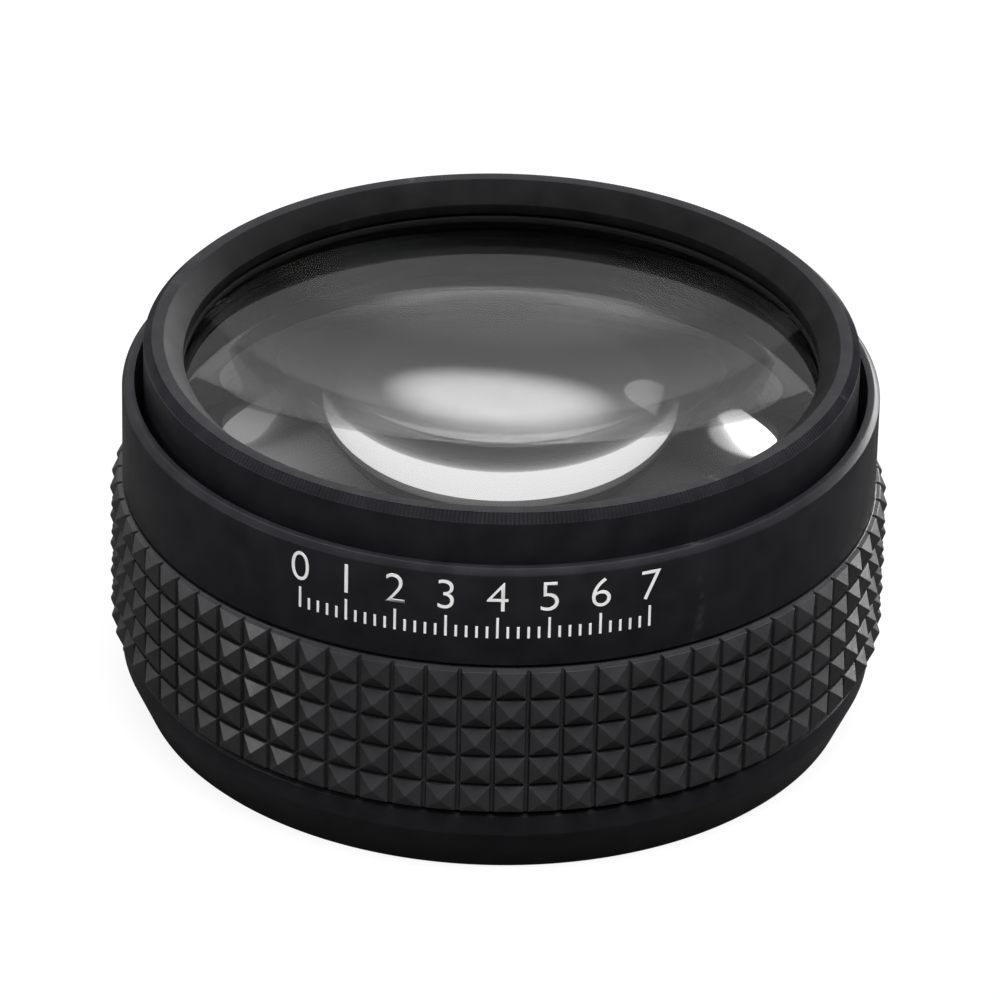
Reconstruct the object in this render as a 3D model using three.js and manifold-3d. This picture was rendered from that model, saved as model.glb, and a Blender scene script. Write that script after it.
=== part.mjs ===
// Hand-held viewing loupe: a short black barrel with a pyramid-pattern rubber grip, and a
// focusing eyepiece that turns in the barrel and climbs along three guide screws.
//
// Millimetres, +Z up. The origin is the centre of the foot, on the surface it stands on.
// Angles are about +Z, and 0 degrees is +X. The eyepiece is drawn at mid focus.

import * as THREE from 'three';
import { mergeVertices } from 'three/addons/utils/BufferGeometryUtils.js';
import Module from 'manifold-3d';

const wasm = await Module();
wasm.setup();

// ---------------------------------------------------------------- driving dimensions

const COLLAR_RADIUS = 30; // the smooth band round the top of the barrel
const OVERALL_HEIGHT = 31.5; // foot to the top of the eyepiece, at mid focus
const GAP = 0.3; // clearance left between neighbouring pieces
const SEGMENTS = 72; // sides of every turned piece
const SCREW_SEGMENTS = 16;
const CHAMFER = 0.3; // small edge break on turned pieces

const FOCUS_UP = 2.5; // travel of the eyepiece above mid focus
const FOCUS_DOWN = 1.5; // travel below mid focus
const FOCUS_LEAD = 14.4; // rise of the eyepiece in one full turn

const GRIP_COLUMNS = SEGMENTS; // pyramids round the grip
const GRIP_ROWS = 5;
const GRIP_PITCH = 2.57; // height of one row of pyramids
const GRIP_TIP_RADIUS = COLLAR_RADIUS + 1.0;
const GRIP_VALLEY_RADIUS = COLLAR_RADIUS + 0.45;
const GRIP_SEAT_RADIUS = COLLAR_RADIUS - 1.1; // bed of the rubber on the barrel

const LAND_TOP = 5.9; // upper edge of the base ring
const LAND_BOTTOM = 4.0; // where the base ring starts to taper
const LAND_RADIUS = COLLAR_RADIUS + 0.05;
const FOOT_RADIUS = 28.4;
const FOOT_BORE_RADIUS = 25.6;
const FOOT_THICKNESS = 1.9;

const GRIP_BOTTOM = LAND_TOP + GAP;
const GRIP_TOP = GRIP_BOTTOM + GRIP_ROWS * GRIP_PITCH;
const COLLAR_BOTTOM = GRIP_TOP + GAP;
const COLLAR_TOP = 27.7;
const COLLAR_CHAMFER = 0.45;
const COLLAR_BORE_RADIUS = COLLAR_RADIUS - 1.0;

const BARREL_BORE_RADIUS = 27.2; // the bearing the eyepiece turns and slides in
const BARREL_BOTTOM = FOOT_THICKNESS + GAP;
const SPIGOT_RADIUS = 28.0; // lower end of the barrel, inside the base ring
const GROOVE_FLOOR = COLLAR_BOTTOM + 0.8; // floor of the groove that the bezel dips into

const BEZEL_RADIUS = 28.3;
const BEZEL_LAND_RADIUS = 26.7; // inner edge of the flat top
const BEZEL_BEVEL = 0.6; // on the outer edge of the top, where the fingertips turn it
const APERTURE_RADIUS = 25.15; // clear opening over the glass
const BEZEL_BOTTOM = GROOVE_FLOOR + FOCUS_DOWN + GAP;

const CELL_RADIUS = BARREL_BORE_RADIUS - GAP;
const CELL_BOTTOM = 6.2;
const CELL_TOP = 28.8;
const BEZEL_BORE_RADIUS = CELL_RADIUS + GAP;
const BEZEL_LIP_BOTTOM = CELL_TOP + GAP;

const UPPER_LENS_RADIUS = 25.8; // both lenses are flat above and domed below
const UPPER_LENS_TOP = 28.0;
const UPPER_LENS_EDGE = 1.5;
const UPPER_DOME_CURVE = 75; // radius of curvature
const LENS_AIR_GAP = 0.4; // from the upper dome to the lower lens
const LOWER_LENS_RADIUS = 24.2;
const LOWER_LENS_EDGE = 3.5;
const LOWER_DOME_CURVE = 40;
const LENS_ARC_STEPS = 7;

const WASHER_THICKNESS = 0.5;
const UPPER_POCKET_RADIUS = UPPER_LENS_RADIUS + GAP;
const LOWER_POCKET_RADIUS = LOWER_LENS_RADIUS + GAP;
const SPACER_RADIUS = 25.1;
const SPACER_TOP_BORE_RADIUS = 24.5;
const SPACER_BOTTOM_BORE_RADIUS = 23.4;
const RETAINER_BORE_RADIUS = 22.6;
const RETAINER_THICKNESS = 1.4;
const SPANNER_SLOT_WIDTH = 1.6;
const SPANNER_SLOT_DEPTH = 0.5;

const DAMPING_RING_RADIUS = 27.0;
const DAMPING_RING_BORE_RADIUS = 26.2;
const DAMPING_RING_HEIGHT = 1.0;
const DAMPING_RING_BOTTOM = 15.2;
const DAMPING_RING_SPLIT = 1.2; // the cut that lets it spring over the lens cell

const SCREW_COUNT = 3;
const GUIDE_SCREW_HEIGHT = 10.8; // above the foot
const GUIDE_SCREW_RADIUS = 1.5;
const GUIDE_PIN_RADIUS = 1.0;
const GUIDE_PIN_END = 25.75; // the pin's inner end, from the axis
const GUIDE_GROOVE_FLOOR = GUIDE_PIN_END - GAP;
const GUIDE_SCREW_ANGLE = 90; // of the first one
const BEZEL_SCREW_HEIGHT = 23.9;
const BEZEL_SCREW_RADIUS = 0.7;
const BEZEL_SCREW_END = 26.2;
const BEZEL_POINT_RADIUS = 0.4;
const BEZEL_POINT_LENGTH = 0.3;
const BEZEL_SCREW_ANGLE = 30; // of the first one
const SCREW_RECESS = 0.1; // how far a screw's end lies below the wall it is in
const SCREW_SLOT_WIDTH = 0.4;
const SCREW_SLOT_DEPTH = 0.4;

// ---------------------------------------------------------------- derived dimensions

const degrees = THREE.MathUtils.degToRad;

// How far a dome with this radius of curvature falls away from its tip, at radius r.
function domeDrop(curve, r) {
  return curve - Math.sqrt(curve ** 2 - r ** 2);
}

const UPPER_DOME_TIP =
  UPPER_LENS_TOP - UPPER_LENS_EDGE - domeDrop(UPPER_DOME_CURVE, UPPER_LENS_RADIUS);
const LOWER_LENS_TOP = UPPER_DOME_TIP - LENS_AIR_GAP;
const LOWER_DOME_TIP =
  LOWER_LENS_TOP - LOWER_LENS_EDGE - domeDrop(LOWER_DOME_CURVE, LOWER_LENS_RADIUS);

// The upper dome sits on the spacer's inner edge, and the lower dome on the retainer's.
const SPACER_TOP = UPPER_DOME_TIP + domeDrop(UPPER_DOME_CURVE, SPACER_TOP_BORE_RADIUS) - GAP;
const SPACER_BOTTOM = LOWER_LENS_TOP + GAP;
const RETAINER_TOP = LOWER_DOME_TIP + domeDrop(LOWER_DOME_CURVE, RETAINER_BORE_RADIUS) - GAP;

// ---------------------------------------------------------------- shape helpers

// A solid of revolution about +Z. The outline is a list of [radius, height] points,
// anticlockwise, that closes on itself or starts and ends on the axis.
function turned(outline, segments = SEGMENTS) {
  const points = outline.map(([radius, height]) => new THREE.Vector2(radius, height));
  const touchesAxis = outline[0][0] === 0;
  if (!touchesAxis) points.push(points[0].clone());
  return new THREE.LatheGeometry(points, segments).rotateX(Math.PI / 2);
}

// A ring with a plain rectangular section.
function plainRing(innerRadius, outerRadius, bottom, top) {
  return turned([
    [innerRadius, bottom],
    [outerRadius, bottom],
    [outerRadius, top],
    [innerRadius, top],
  ]);
}

function toSolid(geometry) {
  const bare = geometry.clone();
  bare.deleteAttribute('normal');
  bare.deleteAttribute('uv');
  const merged = mergeVertices(bare, 1e-4);
  const mesh = new wasm.Mesh({
    numProp: 3,
    vertProperties: new Float32Array(merged.attributes.position.array),
    triVerts: new Uint32Array(merged.index.array),
  });
  return new wasm.Manifold(mesh);
}

function toGeometry(solid) {
  const mesh = solid.getMesh();
  const geometry = new THREE.BufferGeometry();
  geometry.setAttribute('position', new THREE.BufferAttribute(mesh.vertProperties, 3));
  geometry.setIndex(new THREE.BufferAttribute(mesh.triVerts, 1));
  return geometry;
}

// The first geometry with each of the others taken out of it.
function cutAway(geometry, cutters) {
  const start = toSolid(geometry);
  return toGeometry(cutters.reduce((rest, cutter) => rest.subtract(toSolid(cutter)), start));
}

// A straight round bar from radius `start` to radius `end`, pointing away from the axis.
function radialBar(radius, start, end, height, angle) {
  return new THREE.CylinderGeometry(radius, radius, end - start, SCREW_SEGMENTS)
    .rotateZ(-Math.PI / 2)
    .translate((start + end) / 2, 0, height)
    .rotateZ(angle);
}

// The angles of a set of screws spaced evenly round the axis.
function screwAngles(firstDegrees) {
  return Array.from({ length: SCREW_COUNT }, (_, i) =>
    degrees(firstDegrees) + (i * 2 * Math.PI) / SCREW_COUNT);
}

// ---------------------------------------------------------------- barrel and grip

function barrel() {
  const body = turned([
    [BARREL_BORE_RADIUS, BARREL_BOTTOM],
    [SPIGOT_RADIUS, BARREL_BOTTOM],
    [SPIGOT_RADIUS, GRIP_BOTTOM],
    [GRIP_SEAT_RADIUS, GRIP_BOTTOM],
    [GRIP_SEAT_RADIUS, COLLAR_BOTTOM],
    [COLLAR_RADIUS, COLLAR_BOTTOM],
    [COLLAR_RADIUS, COLLAR_TOP - COLLAR_CHAMFER],
    [COLLAR_RADIUS - COLLAR_CHAMFER, COLLAR_TOP],
    [COLLAR_BORE_RADIUS, COLLAR_TOP],
    [COLLAR_BORE_RADIUS, GROOVE_FLOOR],
    [BARREL_BORE_RADIUS, GROOVE_FLOOR],
  ]);
  const holes = screwAngles(GUIDE_SCREW_ANGLE).map((angle) =>
    radialBar(GUIDE_SCREW_RADIUS + GAP, BARREL_BORE_RADIUS - 1, GRIP_SEAT_RADIUS + 1,
      GUIDE_SCREW_HEIGHT, angle));
  return cutAway(body, holes);
}

function baseRing() {
  return turned([
    [FOOT_BORE_RADIUS, CHAMFER],
    [FOOT_BORE_RADIUS + CHAMFER, 0],
    [FOOT_RADIUS - CHAMFER, 0],
    [FOOT_RADIUS, CHAMFER],
    [LAND_RADIUS, LAND_BOTTOM],
    [LAND_RADIUS, LAND_TOP - CHAMFER],
    [LAND_RADIUS - CHAMFER, LAND_TOP],
    [SPIGOT_RADIUS + GAP, LAND_TOP],
    [SPIGOT_RADIUS + GAP, FOOT_THICKNESS],
    [FOOT_BORE_RADIUS, FOOT_THICKNESS],
  ]);
}

// A rubber sleeve covered all round in square pyramids that meet in sharp valleys.
function rubberGrip() {
  const positions = [];
  const faces = [];
  const step = (2 * Math.PI) / GRIP_COLUMNS;

  function ring(radius, height, shift = 0) {
    return Array.from({ length: GRIP_COLUMNS }, (_, i) => {
      const angle = (i + shift) * step;
      positions.push(radius * Math.cos(angle), radius * Math.sin(angle), height);
      return positions.length / 3 - 1;
    });
  }

  function band(lower, upper, tips = null) {
    lower.forEach((a, i) => {
      const next = (i + 1) % GRIP_COLUMNS;
      const [b, c, d] = [lower[next], upper[next], upper[i]];
      if (tips) {
        faces.push(a, b, tips[i], b, c, tips[i], c, d, tips[i], d, a, tips[i]);
      } else {
        faces.push(a, b, c, a, c, d);
      }
    });
  }

  const bedRadius = GRIP_SEAT_RADIUS + GAP;
  const innerBottom = ring(bedRadius, GRIP_BOTTOM);
  const innerTop = ring(bedRadius, GRIP_TOP);
  const valleys = Array.from({ length: GRIP_ROWS + 1 }, (_, row) =>
    ring(GRIP_VALLEY_RADIUS, GRIP_BOTTOM + row * GRIP_PITCH));

  for (let row = 0; row < GRIP_ROWS; row += 1) {
    const tips = ring(GRIP_TIP_RADIUS, GRIP_BOTTOM + (row + 0.5) * GRIP_PITCH, 0.5);
    band(valleys[row], valleys[row + 1], tips);
  }
  band(valleys[GRIP_ROWS], innerTop);
  band(innerTop, innerBottom);
  band(innerBottom, valleys[0]);

  const geometry = new THREE.BufferGeometry();
  geometry.setAttribute('position', new THREE.Float32BufferAttribute(positions, 3));
  geometry.setIndex(faces);
  return geometry;
}

// ---------------------------------------------------------------- screws

// A headless screw along +X, with a driver slot in its outer end and a slimmer pin or point
// on its inner end.
function grubScrew({ radius, outerEnd, pinRadius, pinStart, pinEnd }) {
  const body = turned([
    [0, pinEnd],
    [pinRadius, pinEnd],
    [pinRadius, pinStart],
    [radius, pinStart],
    [radius, outerEnd],
    [0, outerEnd],
  ], SCREW_SEGMENTS).rotateY(Math.PI / 2);
  const slot = new THREE.BoxGeometry(2 * SCREW_SLOT_DEPTH, 4 * radius, SCREW_SLOT_WIDTH)
    .translate(outerEnd, 0, 0);
  return cutAway(body, [slot]);
}

function guideScrew() {
  return grubScrew({
    radius: GUIDE_SCREW_RADIUS,
    outerEnd: GRIP_SEAT_RADIUS - SCREW_RECESS,
    pinRadius: GUIDE_PIN_RADIUS,
    pinStart: BARREL_BORE_RADIUS + SCREW_RECESS,
    pinEnd: GUIDE_PIN_END,
  });
}

function bezelScrew() {
  return grubScrew({
    radius: BEZEL_SCREW_RADIUS,
    outerEnd: BEZEL_RADIUS - SCREW_RECESS,
    pinRadius: BEZEL_POINT_RADIUS,
    pinStart: BEZEL_SCREW_END + BEZEL_POINT_LENGTH,
    pinEnd: BEZEL_SCREW_END,
  });
}

// ---------------------------------------------------------------- eyepiece

function eyepieceBezel() {
  const body = turned([
    [BEZEL_BORE_RADIUS, BEZEL_BOTTOM],
    [BEZEL_RADIUS, BEZEL_BOTTOM],
    [BEZEL_RADIUS, OVERALL_HEIGHT - BEZEL_BEVEL],
    [BEZEL_RADIUS - BEZEL_BEVEL, OVERALL_HEIGHT],
    [BEZEL_LAND_RADIUS, OVERALL_HEIGHT],
    [APERTURE_RADIUS, OVERALL_HEIGHT - (BEZEL_LAND_RADIUS - APERTURE_RADIUS)],
    [APERTURE_RADIUS, BEZEL_LIP_BOTTOM],
    [BEZEL_BORE_RADIUS, BEZEL_LIP_BOTTOM],
  ]);
  const holes = screwAngles(BEZEL_SCREW_ANGLE).map((angle) =>
    radialBar(BEZEL_SCREW_RADIUS + GAP, CELL_RADIUS, BEZEL_RADIUS + 1, BEZEL_SCREW_HEIGHT, angle));
  return cutAway(body, holes);
}

// The slot that one guide pin runs in: as wide as the pin, cut along a right-handed helix
// from the pin's place at full height to its place at full depth.
function guideGroove(angle) {
  const halfWidth = GUIDE_PIN_RADIUS + GAP;
  const steps = 10;
  const outerRadius = CELL_RADIUS + 1;
  const bars = [];
  for (let i = 0; i <= steps; i += 1) {
    const rise = FOCUS_UP - ((FOCUS_UP + FOCUS_DOWN) * i) / steps;
    const turn = (2 * Math.PI * rise) / FOCUS_LEAD;
    bars.push(radialBar(halfWidth, GUIDE_GROOVE_FLOOR, outerRadius, GUIDE_SCREW_HEIGHT - rise,
      angle - turn));
  }
  const solids = bars.map(toSolid);
  const links = solids.slice(1).map((solid, i) => wasm.Manifold.hull([solids[i], solid]));
  return links.reduce((whole, link) => whole.add(link));
}

function lensCell() {
  const ledge = SPACER_BOTTOM - GAP;
  const spacerBore = SPACER_RADIUS + GAP;
  const seatTop = SPACER_TOP - GAP;
  const body = turned([
    [LOWER_POCKET_RADIUS, CELL_BOTTOM],
    [CELL_RADIUS - CHAMFER, CELL_BOTTOM],
    [CELL_RADIUS, CELL_BOTTOM + CHAMFER],
    [CELL_RADIUS, DAMPING_RING_BOTTOM - GAP],
    [DAMPING_RING_BORE_RADIUS - GAP, DAMPING_RING_BOTTOM - GAP],
    [DAMPING_RING_BORE_RADIUS - GAP, DAMPING_RING_BOTTOM + DAMPING_RING_HEIGHT + GAP],
    [CELL_RADIUS, DAMPING_RING_BOTTOM + DAMPING_RING_HEIGHT + GAP],
    [CELL_RADIUS, CELL_TOP],
    [UPPER_POCKET_RADIUS, CELL_TOP],
    [UPPER_POCKET_RADIUS, seatTop],
    [spacerBore, seatTop],
    [spacerBore, ledge],
    [LOWER_POCKET_RADIUS, ledge],
  ]);
  const blindHoles = screwAngles(BEZEL_SCREW_ANGLE).map((angle) =>
    radialBar(BEZEL_SCREW_RADIUS + GAP, BEZEL_SCREW_END - GAP, CELL_RADIUS + 1,
      BEZEL_SCREW_HEIGHT, angle));
  const grooves = screwAngles(GUIDE_SCREW_ANGLE).map(guideGroove);
  const drilled = toSolid(cutAway(body, blindHoles));
  return toGeometry(grooves.reduce((rest, groove) => rest.subtract(groove), drilled));
}

// A lens that is flat above and domed below.
function planoConvexLens(radius, top, domeTip, curve) {
  const dome = Array.from({ length: LENS_ARC_STEPS + 1 }, (_, i) => {
    const r = (radius * i) / LENS_ARC_STEPS;
    return [r, domeTip + domeDrop(curve, r)];
  });
  return turned([...dome, [radius, top], [0, top]]);
}

function upperLens() {
  return planoConvexLens(UPPER_LENS_RADIUS, UPPER_LENS_TOP, UPPER_DOME_TIP, UPPER_DOME_CURVE);
}

function lowerLens() {
  return planoConvexLens(LOWER_LENS_RADIUS, LOWER_LENS_TOP, LOWER_DOME_TIP, LOWER_DOME_CURVE);
}

function upperLensWasher() {
  const bottom = UPPER_LENS_TOP + GAP;
  return plainRing(APERTURE_RADIUS, UPPER_LENS_RADIUS, bottom, bottom + WASHER_THICKNESS);
}

// The blackened ring between the lenses: the upper lens sits on its top edge, and its bottom
// face laps over the rim of the lower lens and the ledge of the cell.
function lensSpacer() {
  return turned([
    [SPACER_BOTTOM_BORE_RADIUS, SPACER_BOTTOM],
    [SPACER_RADIUS, SPACER_BOTTOM],
    [SPACER_RADIUS, SPACER_TOP],
    [SPACER_TOP_BORE_RADIUS, SPACER_TOP],
  ]);
}

function lowerRetainingRing() {
  const bottom = RETAINER_TOP - RETAINER_THICKNESS;
  const ring = plainRing(RETAINER_BORE_RADIUS, LOWER_LENS_RADIUS, bottom, RETAINER_TOP);
  const slot = new THREE.BoxGeometry(3 * LOWER_LENS_RADIUS, SPANNER_SLOT_WIDTH,
    2 * SPANNER_SLOT_DEPTH).translate(0, 0, bottom);
  return cutAway(ring, [slot]);
}

// A split ring that drags on the barrel's bore, so that the eyepiece stays where it is left.
function dampingRing() {
  const ring = plainRing(DAMPING_RING_BORE_RADIUS, DAMPING_RING_RADIUS, DAMPING_RING_BOTTOM,
    DAMPING_RING_BOTTOM + DAMPING_RING_HEIGHT);
  const split = new THREE.BoxGeometry(4, DAMPING_RING_SPLIT, 4 * DAMPING_RING_HEIGHT)
    .translate(DAMPING_RING_RADIUS, 0, DAMPING_RING_BOTTOM);
  return cutAway(ring, [split]);
}

// ---------------------------------------------------------------- materials

const anodised = { color: 0x17171a, roughness: 0.38, metalness: 0.6 };
const blackened = { color: 0x0b0b0c, roughness: 0.7, metalness: 0.3 };
const rubber = { color: 0x101012, roughness: 0.75, metalness: 0.0 };
const glass = { color: 0xe8eef0, roughness: 0.02, metalness: 0.0, transparent: true, opacity: 0.35 };
const steel = { color: 0x35363a, roughness: 0.4, metalness: 0.9 };
const nylon = { color: 0x1c1c1e, roughness: 0.6, metalness: 0.0 };

// ---------------------------------------------------------------- assembly

const loupe = new THREE.Group();

function addPiece(parent, name, geometry, look) {
  const mesh = new THREE.Mesh(geometry, new THREE.MeshStandardMaterial(look));
  mesh.name = name;
  parent.add(mesh);
  return mesh;
}

// The screws of one set are alike, each turned to its own angle at the same height.
function addScrews(parent, name, makeScrew, height, firstDegrees) {
  screwAngles(firstDegrees).forEach((angle, i) => {
    const screw = addPiece(parent, `${name}_${i + 1}`, makeScrew(), steel);
    screw.rotation.z = angle;
    screw.position.z = height;
  });
}

const stand = new THREE.Group();
addPiece(stand, 'barrel', barrel(), anodised);
addPiece(stand, 'rubber_grip', rubberGrip(), rubber);
addPiece(stand, 'base_ring', baseRing(), anodised);
addScrews(stand, 'guide_screw', guideScrew, GUIDE_SCREW_HEIGHT, GUIDE_SCREW_ANGLE);
loupe.add(stand);

addPiece(loupe, 'damping_ring', dampingRing(), nylon);

const eyepiece = new THREE.Group();
addPiece(eyepiece, 'eyepiece_bezel', eyepieceBezel(), anodised);
addPiece(eyepiece, 'lens_cell', lensCell(), blackened);
addScrews(eyepiece, 'bezel_screw', bezelScrew, BEZEL_SCREW_HEIGHT, BEZEL_SCREW_ANGLE);
addPiece(eyepiece, 'upper_lens_washer', upperLensWasher(), nylon);
addPiece(eyepiece, 'upper_lens', upperLens(), glass);
addPiece(eyepiece, 'lens_spacer', lensSpacer(), blackened);
addPiece(eyepiece, 'lower_lens', lowerLens(), glass);
addPiece(eyepiece, 'lower_retaining_ring', lowerRetainingRing(), blackened);
loupe.add(eyepiece);

export default loupe;
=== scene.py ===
"""Looks for a hand-held viewing loupe: turned black metal, a pyramid-pattern rubber grip and
two lenses that are flat above and domed below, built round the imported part.

Profiles are (radius, height) pairs in millimetres, heights counted from the foot; MM turns them
into metres. The object stands on the floor with its axis on +Z and its scale facing -Y.
"""

import math

import bmesh
import bpy
import numpy as np
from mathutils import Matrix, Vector


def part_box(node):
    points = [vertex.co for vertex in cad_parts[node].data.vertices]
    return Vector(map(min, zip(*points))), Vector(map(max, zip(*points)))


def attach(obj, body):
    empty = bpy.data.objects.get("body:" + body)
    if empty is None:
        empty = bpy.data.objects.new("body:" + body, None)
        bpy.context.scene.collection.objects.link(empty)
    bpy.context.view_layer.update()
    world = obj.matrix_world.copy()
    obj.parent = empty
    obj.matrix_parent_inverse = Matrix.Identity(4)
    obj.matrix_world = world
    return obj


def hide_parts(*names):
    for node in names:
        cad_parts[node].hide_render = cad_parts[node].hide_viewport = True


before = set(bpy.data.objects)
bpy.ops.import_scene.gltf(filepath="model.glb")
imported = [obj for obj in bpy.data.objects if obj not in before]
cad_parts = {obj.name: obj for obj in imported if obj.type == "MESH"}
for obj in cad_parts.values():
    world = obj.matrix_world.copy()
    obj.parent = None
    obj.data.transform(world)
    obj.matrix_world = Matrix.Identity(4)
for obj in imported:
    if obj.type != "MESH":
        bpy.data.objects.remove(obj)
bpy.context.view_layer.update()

MM = 0.001


# ---------------------------------------------------------------- camera

CAMERA_ELEVATION = math.radians(30.1)
CAMERA_DISTANCE = 0.61
CAMERA_TARGET = Vector((0.00012, 0.0, 0.01657))
CAMERA_ROLL = math.radians(1.3)
SENSOR_WIDTH = 36.0
FOCAL_LENGTH = 274.9


def make_camera():
    data = bpy.data.cameras.new("camera")
    data.sensor_width = SENSOR_WIDTH
    data.lens = FOCAL_LENGTH
    camera = bpy.data.objects.new("camera", data)
    bpy.context.scene.collection.objects.link(camera)
    back = Vector((0.0, -math.cos(CAMERA_ELEVATION), math.sin(CAMERA_ELEVATION)))
    camera.location = CAMERA_TARGET + CAMERA_DISTANCE * back
    camera.rotation_euler = (-back).to_track_quat("-Z", "Y").to_euler()
    camera.rotation_euler.rotate_axis("Z", CAMERA_ROLL)
    bpy.context.scene.camera = camera


make_camera()


# ---------------------------------------------------------------- sizes from the part
# Millimetres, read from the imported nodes' boxes.


def low(node):
    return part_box(node)[0].z / MM


def high(node):
    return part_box(node)[1].z / MM


def radius(node):
    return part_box(node)[1].x / MM


COLLAR_RADIUS = radius("barrel")
COLLAR_TOP = high("barrel")
BARREL_BOTTOM = low("barrel")
GRIP_TOP = high("rubber_grip")
GRIP_BOTTOM = low("rubber_grip")
LAND_RADIUS = radius("base_ring")
LAND_TOP = high("base_ring")
BEZEL_RADIUS = radius("eyepiece_bezel")
BEZEL_TOP = high("eyepiece_bezel")
BEZEL_BOTTOM = low("eyepiece_bezel")
CELL_RADIUS = radius("lens_cell")
CELL_TOP = high("lens_cell")
CELL_BOTTOM = low("lens_cell")
SPACER_RADIUS = radius("lens_spacer")
SPACER_TOP = high("lens_spacer")
SPACER_BOTTOM = low("lens_spacer")
RETAINER_RADIUS = radius("lower_retaining_ring")
RETAINER_TOP = high("lower_retaining_ring")
RETAINER_BOTTOM = low("lower_retaining_ring")
WASHER_RADIUS = radius("upper_lens_washer")
WASHER_TOP = high("upper_lens_washer")
WASHER_BOTTOM = low("upper_lens_washer")
UPPER_LENS_RADIUS = radius("upper_lens")
UPPER_LENS_TOP = high("upper_lens")
UPPER_LENS_TIP = low("upper_lens")
LOWER_LENS_RADIUS = radius("lower_lens")
LOWER_LENS_TOP = high("lower_lens")
LOWER_LENS_TIP = low("lower_lens")

BORE_RADIUS = 27.2  # the barrel's bearing, in which the eyepiece turns and slides
GAP = 0.3  # between neighbouring pieces


# ---------------------------------------------------------------- shape helpers

SMOOTH_SIDES = 288  # of every turned piece
EDGE_SOFTNESS = 0.08  # how far each machined corner is rounded
LARGEST_CUT = 0.35  # of a short edge's length, taken from it at each of its ends
CORNER_STEPS = 2
SHARP_ANGLE = math.radians(24)
MERGE_DISTANCE = 1e-7  # metres
OVERCUT = 1.0  # how far a cutter stands out of the wall it cuts


def make_piece(name, vertices, faces, body, replaced, material):
    """A mesh piece from millimetre vertices, riding on a body in place of its CAD node."""
    mesh = bpy.data.meshes.new(name)
    mesh.from_pydata([Vector(v) * MM for v in vertices], [], faces)
    piece = bpy.data.objects.new(name, mesh)
    bpy.context.scene.collection.objects.link(piece)
    mesh.materials.append(material)
    tidy_mesh(mesh)
    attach(piece, body)
    if replaced:
        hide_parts(*replaced)
    return piece


def tidy_mesh(mesh):
    """Closed up, facing outwards, and smooth except at its sharp corners."""
    work = bmesh.new()
    work.from_mesh(mesh)
    bmesh.ops.remove_doubles(work, verts=work.verts, dist=MERGE_DISTANCE)
    bmesh.ops.recalc_face_normals(work, faces=work.faces)
    work.to_mesh(mesh)
    work.free()
    mesh.shade_smooth()
    mesh.set_sharp_from_angle(angle=SHARP_ANGLE)


def softened(outline, softness=EDGE_SOFTNESS):
    """A closed outline with each corner cut back and rounded; short edges cut back less."""
    points = [np.array(p, float) for p in outline]
    result = []
    for i, corner in enumerate(points):
        before, after = points[i - 1], points[(i + 1) % len(points)]
        to_before, to_after = before - corner, after - corner
        length_before, length_after = np.linalg.norm(to_before), np.linalg.norm(to_after)
        cut = min(softness, LARGEST_CUT * length_before, LARGEST_CUT * length_after)
        start = corner + to_before / length_before * cut
        end = corner + to_after / length_after * cut
        for step in range(CORNER_STEPS + 1):
            t = step / CORNER_STEPS
            result.append((1 - t) ** 2 * start + 2 * t * (1 - t) * corner + t**2 * end)
    return [tuple(p) for p in result]


def lathe(outline, sides=SMOOTH_SIDES, closed=True):
    """Vertices and faces of a solid of revolution about +Z."""
    count = len(outline)
    vertices = [
        (r * math.cos(a), r * math.sin(a), z)
        for a in (2 * math.pi * i / sides for i in range(sides))
        for r, z in outline
    ]
    faces = []
    for i in range(sides):
        this, after = i * count, (i + 1) % sides * count
        for j in range(count if closed else count - 1):
            k = (j + 1) % count
            faces.append((this + j, after + j, after + k, this + k))
    return vertices, faces


def turned_piece(name, outline, body, replaced, material, softness=EDGE_SOFTNESS):
    """A solid of revolution with rounded corners, in place of its CAD nodes."""
    vertices, faces = lathe(softened(outline, softness))
    return make_piece(name, vertices, faces, body, replaced, material)


def make_cutter(name, vertices, faces):
    """A closed shape from millimetre vertices, used only to cut a piece."""
    mesh = bpy.data.meshes.new(name)
    mesh.from_pydata([Vector(v) * MM for v in vertices], [], faces)
    tidy_mesh(mesh)
    cutter = bpy.data.objects.new(name, mesh)
    bpy.context.scene.collection.objects.link(cutter)
    return cutter


def cut_away(piece, cutters):
    """Takes the cutters out of the piece for good."""
    for cutter in cutters:
        modifier = piece.modifiers.new("cut", "BOOLEAN")
        modifier.operation = "DIFFERENCE"
        modifier.solver = "EXACT"
        modifier.object = cutter
    bpy.context.view_layer.update()
    result = piece.evaluated_get(bpy.context.evaluated_depsgraph_get())
    mesh = bpy.data.meshes.new_from_object(result)
    if not mesh.polygons:
        raise RuntimeError(f"nothing is left of {piece.name}")
    piece.modifiers.clear()
    piece.data = mesh
    for cutter in cutters:
        bpy.data.objects.remove(cutter)
    tidy_mesh(mesh)


# ---------------------------------------------------------------- materials


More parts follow.
